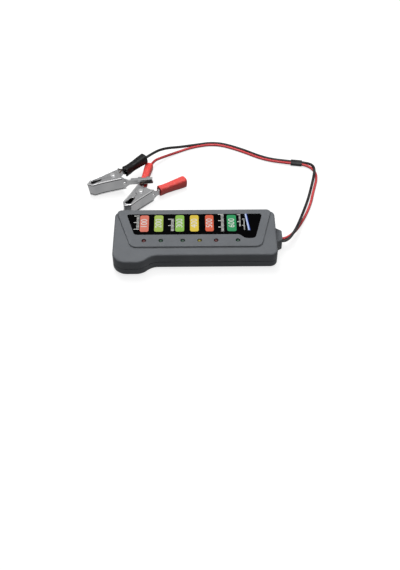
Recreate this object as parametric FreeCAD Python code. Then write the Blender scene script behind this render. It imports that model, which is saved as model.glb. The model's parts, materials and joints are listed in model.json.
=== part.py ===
import FreeCAD, Part
import math
import os
from FreeCAD import Vector

# Housing, with x counted from its left end and depth counted from its straight far edge
housing_length = 122.0
housing_depth = 46.6
housing_height = 16.5
hump_reach = 6.9
hump_slant_start = 21.9
hump_slant_end = 29.1
hump_radius = 11.5
hump_corner_radius = 10.5
far_corner_radius = 4.6
near_corner_radius = 5.5
edge_radius = 1.5
wall = 1.8
parting_z = 7.2
groove_height = 0.5
groove_depth = 0.4

# Raised plateau on both large faces, with its right edges counted from the right end
plateau_rise = 1.35
plateau_far_left = 0.9
plateau_far_right_margin = 2.3
plateau_near_left = 13.3
plateau_near_right_margin = 11.8
plateau_depth = 39.2
plateau_far_radius = 3.2
plateau_near_radius = 6.0
plateau_edge_radius = 0.4

# Labels, each let into its plateau, with their right edges counted from the right end
label_thickness = 0.25
label_set_back = 0.05
label_gap = 0.12
label_margin_far = 4.8
front_label_far_left_radius = 1.5
front_label_far_right_radius = 2.0
front_label_lobe_radius = 4.0
front_label_lobe_right_radius = 3.5
front_label_near_radius = 3.0
rear_label_radius = 2.0
front_label_far_left = 9.0
front_label_far_right_margin = 9.6
front_label_near_left = 15.6
front_label_lobe_left_margin = 27.8
front_label_lobe_right_margin = 16.0
front_label_depth = 26.9
front_label_lobe_depth = 31.1
rear_label_far_left = 9.0
rear_label_far_right_margin = 9.7
rear_label_near_left = 16.7
rear_label_near_right_margin = 16.1
rear_label_depth = 32.9

# Cable boss at the right end and the grommet in it
boss_reach = 4.5
boss_depth_centre = 23.9
boss_root_width = 15.0
boss_tip_width = 9.0
boss_half_height = 5.0
boss_edge_radius = 1.2
sharp_radius = 0.05
grommet_width = 6.8
grommet_height = 4.2
grommet_gap = 0.05
grommet_flange = 0.9
grommet_flange_thickness = 1.4

# Twin cable
wire_diameter = 2.2
wire_spacing = 2.4
wire_gap = 0.06
lead_start_gap = 3.5
lead_joint_set_back = 0.75
cable_straight = 4.9

# Circuit board and its screws, the right-hand ones counted from the right end
board_left = 16.0
board_right_margin = 20.0
board_far = 5.5
board_near = 37.0
board_thickness = 1.6
left_screw_places = [(21.0, 10.0), (29.5, 25.0)]
right_screw_places = [(25.0, 10.0), (36.0, 25.0)]
screw_shank_diameter = 2.2
screw_head_diameter = 4.4
screw_head_height = 1.5
screw_length = 10.0
screw_gap = 0.04
post_diameter = 6.0
post_hole_diameter = 2.6
counterbore_depth = 1.9
counterbore_gap = 0.2
driver_slot = 0.7
driver_span = 3.0
driver_depth = 0.9

# Indicator lamps, with x counted from the middle of the housing
lamp_marks = [
    ("led_1_red", -38.0),
    ("led_2_green", -25.4),
    ("led_3_green", -9.2),
    ("led_4_yellow", 3.3),
    ("led_5_red", 15.6),
    ("led_6_green", 31.8),
]
lamp_depth = 33.0
lamp_diameter = 3.0
lamp_height = 5.3
lamp_flange_diameter = 3.8
lamp_flange_thickness = 1.0
lamp_proud = 0.2
lamp_hole_gap = 0.25
lamp_lead_width = 0.5
lamp_lead_pitch = 2.54
lamp_lead_tail = 0.9
lamp_lead_gap = 0.15

# Other parts soldered to the board, with x counted from the middle of the housing
chip_place = (-3.0, 17.0)
chip_size = (8.7, 3.9, 1.5)
chip_lift = 0.2
chip_lead_count = 7
chip_lead_pitch = 1.27
chip_lead_width = 0.4
chip_lead_reach = 1.0
chip_lead_thickness = 0.2
resistor_places = [
    (-19.0, 10.0),
    (-19.0, 15.0),
    (-19.0, 20.0),
    (-12.0, 26.0),
    (-3.0, 26.0),
    (6.0, 26.0),
    (13.0, 10.0),
    (13.0, 15.0),
    (13.0, 20.0),
]
resistor_size = (3.2, 1.6, 0.6)
diode_place = (27.0, 15.0)
diode_size = (4.4, 2.7, 2.2)
reference_place = (-3.0, 9.5)
reference_size = (2.9, 1.4, 1.1)
capacitor_place = (-30.0, 15.5)
capacitor_diameter = 4.0
capacitor_clearance = 1.15
capacitor_base = 4.3
capacitor_base_height = 0.8
terminal_width = 1.6
terminal_thickness = 0.4
terminal_lap = 4.0

# Spring clips, drawn around their pivot with u towards the handles and v across the jaws
sheet = 0.8
jaw_tip_u = -21.5
jaw_front_u = -17.7
jaw_front_v = 3.9
jaw_mid_u = -10.2
jaw_mid_v = 4.5
jaw_rear_u = -3.0
jaw_rear_v = 5.8
shoulder_u = 4.0
shoulder_v = 7.0
neck_u = 8.5
neck_v = 7.7
handle_start_u = 12.0
handle_start_v = 9.0
handle_end_u = 28.0
handle_end_v = 16.1
bend_radius = 1.0
jaw_gap = 0.15
wired_half_width = 4.75
ear_gap = 0.2
wired_handle_half_width = 2.1
free_handle_half_width = 2.2
handle_flange = 2.4
crimp_flange = 3.6
crimp_length = 2.6
crimp_places = (5.5, 12.5)
tab_radius = 4.2
ear_rear_u = 6.3
ear_notch_radius = 7.0
ear_notch_v = 3.0
mouth_front_u = -16.8
mouth_rear_u = -8.2
mouth_half_width = 2.0
tooth_pitch = 1.2
tooth_depth = 0.5
tooth_count = 4
first_tooth = 1.1
taper_start_u = 5.5
taper_end_u = 10.5
dimple_u = 6.9
dimple_radius = 1.6
dimple_height = 0.5

# Clip pivots and springs
rivet_radius = 1.5
rivet_head_radius = 2.3
rivet_head_height = 0.9
rivet_edge_radius = 0.7
rivet_fit = 0.03
pivot_running_gap = 0.06
head_gap = 0.06
coil_radius = 2.6
coil_wire_radius = 0.5
coil_pitch = 1.15
coil_whole_turns = 4
coil_stretches = 5
coil_leg_angle = 50.0
coil_leg_length = 10.4

# Insulating boots on the handles
black_boot_start = 0.3
red_boot_start = 2.0
boot_length = 22.0
boot_width = 7.2
boot_thickness = 6.2
boot_centre = 1.9
boot_corner_radius = 2.7
boot_gap = 0.15
boot_wire_gap = 0.25

# Where the clips lie: pivot place from the cable's exit, then turn, tilt and roll in degrees
black_clip_place = (-130.12, 66.11, 9.35)
black_clip_angles = (18.31, 7.8, -3.5)
red_clip_place = (-108.16, 49.76, 6.9)
red_clip_angles = (55.82, -3.2, 0.0)

# Wire routes on the table after the straight start, from the cable's exit, chosen by hand
red_route = [
    (12.25, 7.65, 4.0),
    (18.25, 21.65, 1.5),
    (22.95, 35.55, 1.2),
    (29.95, 57.65, 1.2),
    (36.45, 80.95, 1.2),
    (29.75, 92.35, 1.9),
    (12.25, 95.15, 1.9),
    (-7.05, 100.25, 1.2),
    (-27.15, 113.05, 1.2),
    (-46.65, 121.65, 1.2),
    (-66.25, 117.75, 1.2),
    (-79.75, 110.75, 1.3),
    (-90.25, 103.75, 2.6),
    (-101.27, 94.82, 4.6),
    (-104.36, 77.62, 5.49),
]
black_route = [
    (13.55, 4.55, 8.2),
    (16.05, 18.15, 4.6),
    (19.85, 36.55, 1.4),
    (27.55, 58.15, 1.2),
    (33.05, 78.35, 4.3),
    (33.85, 87.75, 4.3),
    (29.75, 95.05, 1.9),
    (12.75, 97.55, 1.9),
    (-6.05, 102.45, 1.2),
    (-25.85, 115.25, 1.2),
    (-46.45, 124.15, 1.2),
    (-66.55, 119.95, 1.3),
    (-78.05, 114.75, 3.6),
    (-89.25, 106.45, 9.4),
    (-98.6, 96.43, 13.59),
    (-110.22, 85.85, 12.02),
]
sleeve_start = (24.35, 94.5, 1.9)
sleeve_end = (15.35, 95.9, 1.9)
sleeve_wall = 0.5
sleeve_gap = 0.2

# Values that follow from the ones above
left_x = -(housing_length + boss_reach) / 2
far_y = (housing_depth + hump_reach) / 2
body_bottom = plateau_rise
body_top = housing_height - plateau_rise
cavity_bottom = body_bottom + wall
cavity_top = body_top - wall
cable_z = parting_z
middle_x = housing_length / 2
plateau_far_right = housing_length - plateau_far_right_margin
plateau_near_right = housing_length - plateau_near_right_margin
front_label_far_right = housing_length - front_label_far_right_margin
front_label_lobe_left = housing_length - front_label_lobe_left_margin
front_label_lobe_right = housing_length - front_label_lobe_right_margin
rear_label_far_right = housing_length - rear_label_far_right_margin
rear_label_near_right = housing_length - rear_label_near_right_margin
board_top = cable_z + wire_diameter / 2
board_bottom = board_top - board_thickness
board_right = housing_length - board_right_margin
screw_places = left_screw_places + [(housing_length - x, depth) for x, depth in right_screw_places]
lamp_places = [(name, middle_x + x) for name, x in lamp_marks]
capacitor_height = cavity_top - board_top - capacitor_clearance
lead_start_x = board_right + lead_start_gap
lead_joint_x = housing_length - lead_joint_set_back
label_recess = label_thickness + label_set_back
free_half_width = wired_half_width + ear_gap + sheet


def at(x, depth, z=0.0):
    return Vector(left_x + x, far_y - depth, z)


def rounded_wire(corners):
    points = [point for point, radius in corners]
    edges = []
    starts = []
    ends = []
    arcs = []
    for index, (point, radius) in enumerate(corners):
        before = points[index - 1] - point
        after = points[(index + 1) % len(points)] - point
        half = before.getAngle(after) / 2
        reach = radius / math.tan(half)
        reach = min(reach, 0.49 * before.Length, 0.49 * after.Length)
        start = point + before * (reach / before.Length)
        end = point + after * (reach / after.Length)
        middle = (before * (1 / before.Length) + after * (1 / after.Length)).normalize()
        distance = reach / math.cos(half) - reach * math.tan(half)
        starts.append(start)
        ends.append(end)
        arcs.append(Part.Arc(start, point + middle * distance, end).toShape())
    for index in range(len(corners)):
        edges.append(arcs[index])
        edges.append(Part.LineSegment(ends[index], starts[(index + 1) % len(corners)]).toShape())
    return Part.Wire(edges)


def outline_prism(corners, low, high):
    face = Part.Face(rounded_wire(corners))
    face.translate(Vector(0, 0, low))
    return face.extrude(Vector(0, 0, high - low))


def shrunk_prism(corners, inset, low, high):
    wire = rounded_wire(corners).makeOffset2D(-inset)
    face = Part.Face(wire)
    face.translate(Vector(0, 0, low))
    return face.extrude(Vector(0, 0, high - low))


def box_at(x, depth, low, size):
    corner = at(x, depth, low) - Vector(size[0] / 2, size[1] / 2, 0)
    return Part.makeBox(size[0], size[1], size[2], corner)


def post(x, depth, radius, low, high):
    return Part.makeCylinder(radius, high - low, at(x, depth, low))


def body_corners():
    near = housing_depth
    hump = housing_depth + hump_reach
    return [
        (at(0, 0), far_corner_radius),
        (at(housing_length, 0), far_corner_radius),
        (at(housing_length, near), near_corner_radius),
        (at(hump_slant_end, near), hump_radius),
        (at(hump_slant_start, hump), hump_radius),
        (at(0, hump), hump_corner_radius),
    ]


def plateau_corners():
    return [
        (at(plateau_far_left, 0), plateau_far_radius),
        (at(plateau_far_right, 0), plateau_far_radius),
        (at(plateau_near_right, plateau_depth), plateau_near_radius),
        (at(plateau_near_left, plateau_depth), plateau_near_radius),
    ]


def front_label_corners():
    slant = front_label_lobe_depth - front_label_depth
    return [
        (at(front_label_far_left, label_margin_far), front_label_far_left_radius),
        (at(front_label_far_right, label_margin_far), front_label_far_right_radius),
        (at(front_label_lobe_right, front_label_lobe_depth), front_label_lobe_right_radius),
        (at(front_label_lobe_left + slant, front_label_lobe_depth), front_label_lobe_radius),
        (at(front_label_lobe_left, front_label_depth), front_label_lobe_radius),
        (at(front_label_near_left, front_label_depth), front_label_near_radius),
    ]


def rear_label_corners():
    return [
        (at(rear_label_far_left, label_margin_far), rear_label_radius),
        (at(rear_label_far_right, label_margin_far), rear_label_radius),
        (at(rear_label_near_right, rear_label_depth), rear_label_radius),
        (at(rear_label_near_left, rear_label_depth), rear_label_radius),
    ]


def boss_corners():
    root = housing_length - edge_radius - wall
    tip = housing_length + boss_reach
    slope = (boss_root_width - boss_tip_width) / 2 / boss_reach
    root_half = boss_root_width / 2 + slope * (housing_length - root)
    tip_half = boss_tip_width / 2
    return [
        (at(root, boss_depth_centre - root_half), sharp_radius),
        (at(tip, boss_depth_centre - tip_half), boss_edge_radius),
        (at(tip, boss_depth_centre + tip_half), boss_edge_radius),
        (at(root, boss_depth_centre + root_half), sharp_radius),
    ]


def flat_edges(shape, z):
    chosen = []
    for edge in shape.Edges:
        box = edge.BoundBox
        if abs(box.ZMin - z) < 1e-4 and abs(box.ZMax - z) < 1e-4:
            chosen.append(edge)
    return chosen


def outer_form():
    body = outline_prism(body_corners(), body_bottom, body_top)
    rims = flat_edges(body, body_bottom) + flat_edges(body, body_top)
    body = body.makeFillet(edge_radius, rims)
    plateau = outline_prism(plateau_corners(), 0, housing_height)
    rims = flat_edges(plateau, 0) + flat_edges(plateau, housing_height)
    plateau = plateau.makeFillet(plateau_edge_radius, rims)
    boss = outline_prism(boss_corners(), cable_z - boss_half_height, cable_z + boss_half_height)
    return body.fuse([plateau, boss]).removeSplitter()


def stadium(width, height, x_low, x_high):
    start = at(x_low, boss_depth_centre, cable_z)
    length = Vector(x_high - x_low, 0, 0)
    side = Vector(0, width / 2, 0)
    rise = Vector(0, 0, height / 2)
    corners = [
        (start - side - rise, height * 0.49),
        (start + side - rise, height * 0.49),
        (start + side + rise, height * 0.49),
        (start - side + rise, height * 0.49),
    ]
    return Part.Face(rounded_wire(corners)).extrude(length)


def grommet_cut():
    inside = housing_length - wall - grommet_flange_thickness
    tip = housing_length + boss_reach
    reach = 2 * grommet_gap
    bore = stadium(grommet_width + reach, grommet_height + reach, inside, tip + 1)
    seat_width = grommet_width + 2 * grommet_flange + reach
    seat_height = grommet_height + 2 * grommet_flange + reach
    seat = stadium(seat_width, seat_height, inside - 1, housing_length - wall)
    return bore.fuse(seat)


def slab(low, high):
    reach = 2 * housing_length
    return Part.makeBox(2 * reach, 2 * reach, high - low, Vector(-reach, -reach, low))


def front_shell(outer, cavity):
    shell = outer.common(slab(parting_z, housing_height + 1)).cut(cavity)
    for x, depth in screw_places:
        shell = shell.fuse(post(x, depth, post_diameter / 2, board_top, cavity_top + wall / 2))
    cuts = [grommet_cut()]
    pilot = screw_shank_diameter / 2 + screw_gap
    pilot_top = label_recess + counterbore_depth + screw_length + screw_gap
    for x, depth in screw_places:
        cuts.append(post(x, depth, pilot, board_top - 1, pilot_top))
    hole = lamp_diameter / 2 + lamp_hole_gap
    for name, x in lamp_places:
        cuts.append(post(x, lamp_depth, hole, cavity_top - 1, housing_height + 1))
    cuts.append(outline_prism(front_label_corners(), housing_height - label_recess, housing_height + 1))
    band = outline_prism(body_corners(), parting_z - 1, parting_z + groove_height)
    cuts.append(band.cut(shrunk_prism(body_corners(), groove_depth, parting_z - 2, parting_z + 2)))
    return shell.cut(cuts)


def rear_shell(outer, cavity):
    shell = outer.common(slab(-1, parting_z)).cut(cavity)
    for x, depth in screw_places:
        shell = shell.fuse(post(x, depth, post_diameter / 2, cavity_bottom - wall / 2, board_bottom))
    cuts = [grommet_cut()]
    seat = screw_head_diameter / 2 + counterbore_gap
    for x, depth in screw_places:
        cuts.append(post(x, depth, post_hole_diameter / 2, -1, board_bottom + 1))
        cuts.append(post(x, depth, seat, -1, label_recess + counterbore_depth))
    cuts.append(outline_prism(rear_label_corners(), -1, label_recess))
    return shell.cut(cuts)


def label(corners, low):
    return shrunk_prism(corners, label_gap, low, low + label_thickness)


def case_screws():
    screws = []
    seat = label_recess + counterbore_depth
    for x, depth in screw_places:
        head = post(x, depth, screw_head_diameter / 2, seat - screw_head_height, seat)
        shank = post(x, depth, screw_shank_diameter / 2, seat - 0.1, seat + screw_length)
        screw = head.fuse(shank)
        for size in ((driver_span, driver_slot, driver_depth), (driver_slot, driver_span, driver_depth)):
            screw = screw.cut(box_at(x, depth, seat - screw_head_height, size))
        screws.append(screw)
    return Part.makeCompound(screws)


def wire_side(sign):
    return at(0, boss_depth_centre).y + sign * wire_spacing / 2


def cable_grommet():
    inside = housing_length - wall - grommet_flange_thickness
    tip = housing_length + boss_reach
    bush = stadium(grommet_width, grommet_height, inside, tip)
    flange_width = grommet_width + 2 * grommet_flange
    flange_height = grommet_height + 2 * grommet_flange
    bush = bush.fuse(stadium(flange_width, flange_height, inside, housing_length - wall - grommet_gap))
    radius = wire_diameter / 2 + wire_gap
    for sign in (-1, 1):
        start = Vector(at(inside - 1, 0).x, wire_side(sign), cable_z)
        bush = bush.cut(Part.makeCylinder(radius, tip - inside + 2, start, Vector(1, 0, 0)))
    return bush.removeSplitter()


def circuit_board():
    size = (board_right - board_left, board_near - board_far, board_thickness)
    board = box_at((board_left + board_right) / 2, (board_far + board_near) / 2, board_bottom, size)
    cuts = []
    for x, depth in screw_places:
        cuts.append(post(x, depth, post_hole_diameter / 2, board_bottom - 1, board_top + 1))
    hole = lamp_lead_width * math.sqrt(0.5) + lamp_lead_gap
    for name, x in lamp_places:
        for side in (-1, 1):
            lead_x = x + side * lamp_lead_pitch / 2
            cuts.append(post(lead_x, lamp_depth, hole, board_bottom - 1, board_top + 1))
    return board.cut(cuts)


def lamp(x):
    top = housing_height + lamp_proud
    base = top - lamp_height
    radius = lamp_diameter / 2
    lens = post(x, lamp_depth, radius, base, top - radius)
    lens = lens.fuse(Part.makeSphere(radius, at(x, lamp_depth, top - radius)))
    lens = lens.fuse(post(x, lamp_depth, lamp_flange_diameter / 2, base, base + lamp_flange_thickness))
    low = board_bottom - lamp_lead_tail
    for side in (-1, 1):
        size = (lamp_lead_width, lamp_lead_width, base + 0.2 - low)
        lens = lens.fuse(box_at(x + side * lamp_lead_pitch / 2, lamp_depth, low, size))
    return lens.removeSplitter()


def on_board(place, size):
    return box_at(middle_x + place[0], place[1], board_top, size)


def comparator_chip():
    x, depth = middle_x + chip_place[0], chip_place[1]
    chip = box_at(x, depth, board_top + chip_lift, chip_size)
    span = chip_size[1] + 2 * chip_lead_reach
    rise = chip_lift + chip_size[2] / 2
    leads = []
    for index in range(chip_lead_count):
        place = x + (index - (chip_lead_count - 1) / 2) * chip_lead_pitch
        leads.append(box_at(place, depth, board_top, (chip_lead_width, span, rise)))
    gap_size = (chip_size[0] + 2, chip_size[1] + chip_lead_reach, rise + 1 - chip_lead_thickness)
    gap = box_at(x, depth, board_top - 1, gap_size)
    comb = leads[0].fuse(leads[1:]).cut(gap)
    return chip.fuse(comb).removeSplitter()


def resistors():
    return Part.makeCompound([on_board(place, resistor_size) for place in resistor_places])


def filter_capacitor():
    base = on_board(capacitor_place, (capacitor_base, capacitor_base, capacitor_base_height))
    x, depth = middle_x + capacitor_place[0], capacitor_place[1]
    can = post(x, depth, capacitor_diameter / 2, board_top, board_top + capacitor_height)
    return base.fuse(can).removeSplitter()


def wire_terminals():
    strips = []
    start = board_right - terminal_lap
    length = lead_start_x + terminal_lap - start
    for sign in (-1, 1):
        corner = Vector(at(start, 0).x, wire_side(sign) - terminal_width / 2, board_top)
        strips.append(Part.makeBox(length, terminal_width, terminal_thickness, corner))
    return Part.makeCompound(strips)


def inner_lead(sign):
    start = Vector(at(lead_start_x, 0).x, wire_side(sign), cable_z)
    return Part.makeCylinder(wire_diameter / 2, lead_joint_x - lead_start_x, start, Vector(1, 0, 0))


def from_exit(place):
    x, y, z = place
    tip = at(housing_length + boss_reach, boss_depth_centre)
    return tip + Vector(x, y, z)


def cord_points(sign, route):
    start = Vector(at(lead_joint_x, 0).x, wire_side(sign), cable_z)
    straight_end = Vector(from_exit((cable_straight, 0, 0)).x, wire_side(sign), cable_z)
    return [start, straight_end] + [from_exit(place) for place in route]


def route_wire(name, points):
    edges = []
    start = points[0]
    for before, point, after in zip(points, points[1:], points[2:]):
        back = before - point
        ahead = after - point
        half = back.getAngle(ahead) / 2
        reach = 0.45 * min(back.Length, ahead.Length)
        radius = reach * math.tan(half)
        turn = 180 - math.degrees(2 * half)
        print(name, "turn", round(turn, 1), "radius", round(radius, 1), "run", round(ahead.Length, 1))
        arc_start = point + back * (reach / back.Length)
        arc_end = point + ahead * (reach / ahead.Length)
        middle = (back * (1 / back.Length) + ahead * (1 / ahead.Length)).normalize()
        arc_middle = point + middle * (reach / math.cos(half) - radius)
        edges.append(Part.LineSegment(start, arc_start).toShape())
        edges.append(Part.Arc(arc_start, arc_middle, arc_end).toShape())
        start = arc_end
    edges.append(Part.LineSegment(start, points[-1]).toShape())
    return Part.Wire(edges)


def wire_tube(name, points):
    path = route_wire(name, points)
    section = Part.Wire(Part.makeCircle(wire_diameter / 2, points[0], points[1] - points[0]))
    tube = path.makePipeShell([section], True, False)
    expected = math.pi * (wire_diameter / 2) ** 2 * path.Length
    share = round(tube.Volume / expected, 4)
    print(name, "length", round(path.Length, 1), "volume share", share, tube.isValid())
    return tube


def cable_sleeve():
    start = from_exit(sleeve_start)
    along = from_exit(sleeve_end) - start
    side = along.cross(Vector(0, 0, 1)).normalize()
    up = Vector(0, 0, 1)

    def oval(grow):
        half_height = wire_diameter / 2 + grow
        half_width = wire_spacing / 2 + half_height
        corners = []
        for across, rise in ((-1, -1), (1, -1), (1, 1), (-1, 1)):
            point = start + side * (across * half_width) + up * (rise * half_height)
            corners.append((point, half_height * 0.97))
        return Part.Face(rounded_wire(corners)).extrude(along)

    return oval(sleeve_gap + sleeve_wall).cut(oval(sleeve_gap))


def outer_line(side):
    return [
        Vector(jaw_tip_u, side * jaw_gap, 0),
        Vector(jaw_front_u, side * jaw_front_v, 0),
        Vector(jaw_mid_u, side * jaw_mid_v, 0),
        Vector(jaw_rear_u, side * jaw_rear_v, 0),
        Vector(shoulder_u, side * shoulder_v, 0),
        Vector(neck_u, side * neck_v, 0),
        Vector(handle_start_u, side * handle_start_v, 0),
        Vector(handle_end_u, side * handle_end_v, 0),
    ]


def offset_line(points, distance):
    moved = []
    for index, point in enumerate(points):
        directions = []
        if index > 0:
            directions.append((point - points[index - 1]).normalize())
        if index < len(points) - 1:
            directions.append((points[index + 1] - point).normalize())
        normals = [Vector(-direction.y, direction.x, 0) for direction in directions]
        middle = normals[0]
        if len(normals) == 2:
            middle = (normals[0] + normals[1]).normalize()
        moved.append(point + middle * (distance / middle.dot(normals[0])))
    return moved


def across(face, low, high):
    face.translate(Vector(0, 0, low))
    return face.extrude(Vector(0, 0, high - low))


def lever_web(side, half_width, handle_half_width):
    outer = outer_line(side)
    inner = offset_line(outer, -side * sheet)
    inner[0] = Vector(jaw_tip_u + sheet, side * jaw_gap, 0)
    radii = [sharp_radius] + [bend_radius] * (len(outer) - 2) + [sharp_radius]
    corners = list(zip(outer, radii)) + list(zip(reversed(inner), reversed(radii)))
    strip = across(Part.Face(rounded_wire(corners)), -half_width, half_width)
    plan = [
        (jaw_tip_u - 1, half_width),
        (taper_start_u, half_width),
        (taper_end_u, handle_half_width),
        (handle_end_u + 1, handle_half_width),
    ]
    low = -2 * handle_end_v
    ring = [Vector(u, low, width) for u, width in plan]
    ring += [Vector(u, low, -width) for u, width in reversed(plan)]
    ring.append(ring[0])
    mask = Part.Face(Part.makePolygon(ring)).extrude(Vector(0, -2 * low, 0))
    return strip.common(mask)


def lever_ear_face(side, hole_radius):
    line = outer_line(side)[:6]
    ring = line + [Vector(neck_u, side * jaw_gap, 0)]
    ring.append(ring[0])
    plate = across(Part.Face(Part.makePolygon(ring)), 0, sheet)
    notch_u = ear_rear_u + math.sqrt(ear_notch_radius ** 2 - ear_notch_v ** 2)
    notch = Part.makeCylinder(ear_notch_radius, 3 * sheet, Vector(notch_u, side * ear_notch_v, -sheet))
    plate = plate.cut(notch)
    span = mouth_rear_u - mouth_front_u
    curve = (span ** 2 / 4 + mouth_half_width ** 2) / (2 * mouth_half_width)
    mouth_centre = Vector((mouth_front_u + mouth_rear_u) / 2, side * (mouth_half_width - curve), -sheet)
    plate = plate.cut(Part.makeCylinder(curve, 3 * sheet, mouth_centre))
    for index in range(tooth_count):
        u = jaw_tip_u + first_tooth + index * tooth_pitch
        root = side * jaw_gap
        notch_points = [
            Vector(u, root - side, -sheet),
            Vector(u, root, -sheet),
            Vector(u + tooth_pitch / 2, root + side * tooth_depth, -sheet),
            Vector(u + tooth_pitch, root, -sheet),
            Vector(u + tooth_pitch, root - side, -sheet),
            Vector(u, root - side, -sheet),
        ]
        plate = plate.cut(Part.Face(Part.makePolygon(notch_points)).extrude(Vector(0, 0, 3 * sheet)))
    plate = plate.fuse(Part.makeCylinder(tab_radius, sheet))
    return plate.cut(Part.makeCylinder(hole_radius, 3 * sheet, Vector(0, 0, -sheet)))


def handle_frame(side):
    start = Vector(handle_start_u, side * handle_start_v, 0)
    along = (Vector(handle_end_u, side * handle_end_v, 0) - start)
    length = along.Length
    along = along.normalize()
    inward = Vector(along.y, -along.x, 0) * side
    return start, along, inward, length


def handle_plate(side, low, high, depth):
    start, along, inward, length = handle_frame(side)
    ring = [
        start + along * low,
        start + along * high,
        start + along * high + inward * depth,
        start + along * low + inward * depth,
    ]
    ring.append(ring[0])
    return across(Part.Face(Part.makePolygon(ring)), 0, sheet)


def clip_lever(side, half_width, handle_half_width, hole_radius, with_crimps, with_dimple):
    lever = lever_web(side, half_width, handle_half_width)
    ear = lever_ear_face(side, hole_radius)
    length = handle_frame(side)[3]
    flange = handle_plate(side, 0, length, handle_flange)
    if with_crimps:
        for place in crimp_places:
            flange = flange.fuse(handle_plate(side, place, place + crimp_length, crimp_flange))
    pieces = []
    for plate, width in ((ear, half_width), (flange, handle_half_width)):
        for low in (-width, width - sheet):
            copy = plate.copy()
            copy.translate(Vector(0, 0, low))
            pieces.append(copy)
    lever = lever.fuse(pieces)
    if with_dimple:
        run = Vector(neck_u - shoulder_u, side * (neck_v - shoulder_v), 0)
        share = (dimple_u - shoulder_u) / run.x
        place = Vector(shoulder_u, side * shoulder_v, 0) + run * share
        normal = Vector(-run.y, run.x, 0).normalize() * side
        bulge = (dimple_radius ** 2 + dimple_height ** 2) / (2 * dimple_height)
        ball = Part.makeSphere(bulge, place + normal * (dimple_height - bulge))
        cap = ball.common(Part.makeCylinder(dimple_radius, 2, place - normal * (sheet / 2), normal))
        lever = lever.fuse(cap)
    return lever.removeSplitter()


def clip_rivet():
    reach = free_half_width + head_gap
    rivet = Part.makeCylinder(rivet_radius, 2 * reach, Vector(0, 0, -reach))
    for side in (-1, 1):
        head = Part.makeCylinder(rivet_head_radius, rivet_head_height, Vector(0, 0, reach))
        head = head.makeFillet(rivet_edge_radius, flat_edges(head, reach + rivet_head_height))
        if side < 0:
            head.rotate(Vector(0, 0, 0), Vector(1, 0, 0), 180)
        rivet = rivet.fuse(head)
    return rivet.removeSplitter()


def clip_spring():
    turn_start = 90 - coil_leg_angle
    turns = coil_whole_turns + (360 - 2 * turn_start) / 360
    height = turns * coil_pitch
    rise = height / coil_stretches
    helix = Part.makeHelix(coil_pitch, rise, coil_radius)
    section = Part.Wire(Part.makeCircle(coil_wire_radius, Vector(coil_radius, 0, 0), Vector(0, 1, 0)))
    coil = stretch = Part.Wire(helix.Edges).makePipeShell([section], True, True)
    for number in range(1, coil_stretches):
        piece = stretch.copy()
        piece.rotate(Vector(0, 0, 0), Vector(0, 0, 1), 360 * number * rise / coil_pitch)
        piece.translate(Vector(0, 0, number * rise))
        coil = coil.fuse(piece)
    coil.translate(Vector(0, 0, -height / 2))
    coil.rotate(Vector(0, 0, 0), Vector(0, 0, 1), turn_start)
    spring = coil
    for side in (-1, 1):
        lean = math.radians(-side * turn_start)
        foot = Vector(coil_radius * math.cos(lean), coil_radius * math.sin(lean), side * height / 2)
        heading = math.radians(side * coil_leg_angle)
        direction = Vector(math.cos(heading), math.sin(heading), 0)
        spring = spring.fuse(Part.makeCylinder(coil_wire_radius, coil_leg_length, foot, direction))
        spring = spring.fuse(Part.makeSphere(coil_wire_radius, foot))
    return spring


def handle_boot(side, handle_half_width, boot_start, wired):
    start, along, inward, length = handle_frame(side)
    side_way = Vector(0, 0, 1)
    base = start + along * boot_start + inward * boot_centre
    corners = []
    for wide, thick in ((-1, -1), (1, -1), (1, 1), (-1, 1)):
        point = base + side_way * (wide * boot_width / 2) + inward * (thick * boot_thickness / 2)
        corners.append((point, boot_corner_radius))
    boot = Part.Face(rounded_wire(corners)).extrude(along * boot_length)
    depth = crimp_flange + 2 * boot_gap
    half = handle_half_width + boot_gap
    opening = start + along * (boot_start - 1) - inward * boot_gap - side_way * half
    ring = [
        opening,
        opening + side_way * (2 * half),
        opening + side_way * (2 * half) + inward * depth,
        opening + inward * depth,
        opening,
    ]
    pocket = Part.Face(Part.makePolygon(ring)).extrude(along * (length - boot_start + 1 + boot_gap))
    boot = boot.cut(pocket)
    if wired:
        radius = wire_diameter / 2 + boot_wire_gap
        hole_start = start + along * boot_start + inward * wire_line_depth()
        boot = boot.cut(Part.makeCylinder(radius, boot_length + 1, hole_start, along))
    return boot


def wire_line_depth():
    return sheet + wire_diameter / 2 + boot_wire_gap


def placed(shape, place, angles):
    turn, tilt, roll = angles
    moved = shape.copy()
    moved.rotate(Vector(0, 0, 0), Vector(1, 0, 0), roll)
    moved.rotate(Vector(0, 0, 0), Vector(0, 1, 0), -tilt)
    moved.rotate(Vector(0, 0, 0), Vector(0, 0, 1), turn)
    moved.translate(from_exit(place))
    return moved


def clip_pieces(colour, place, angles, boot_start, with_free_boot):
    pieces = {
        "wired_lever": clip_lever(
            1, wired_half_width, wired_handle_half_width, rivet_radius + rivet_fit, False, False
        ),
        "free_lever": clip_lever(
            -1, free_half_width, free_handle_half_width, rivet_radius + pivot_running_gap, True, True
        ),
        "rivet": clip_rivet(),
        "spring": clip_spring(),
        "wired_boot": handle_boot(1, wired_handle_half_width, boot_start, True),
    }
    if with_free_boot:
        pieces["free_boot"] = handle_boot(-1, free_handle_half_width, boot_start, False)
    return {colour + "_clip_" + name: placed(shape, place, angles) for name, shape in pieces.items()}


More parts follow.
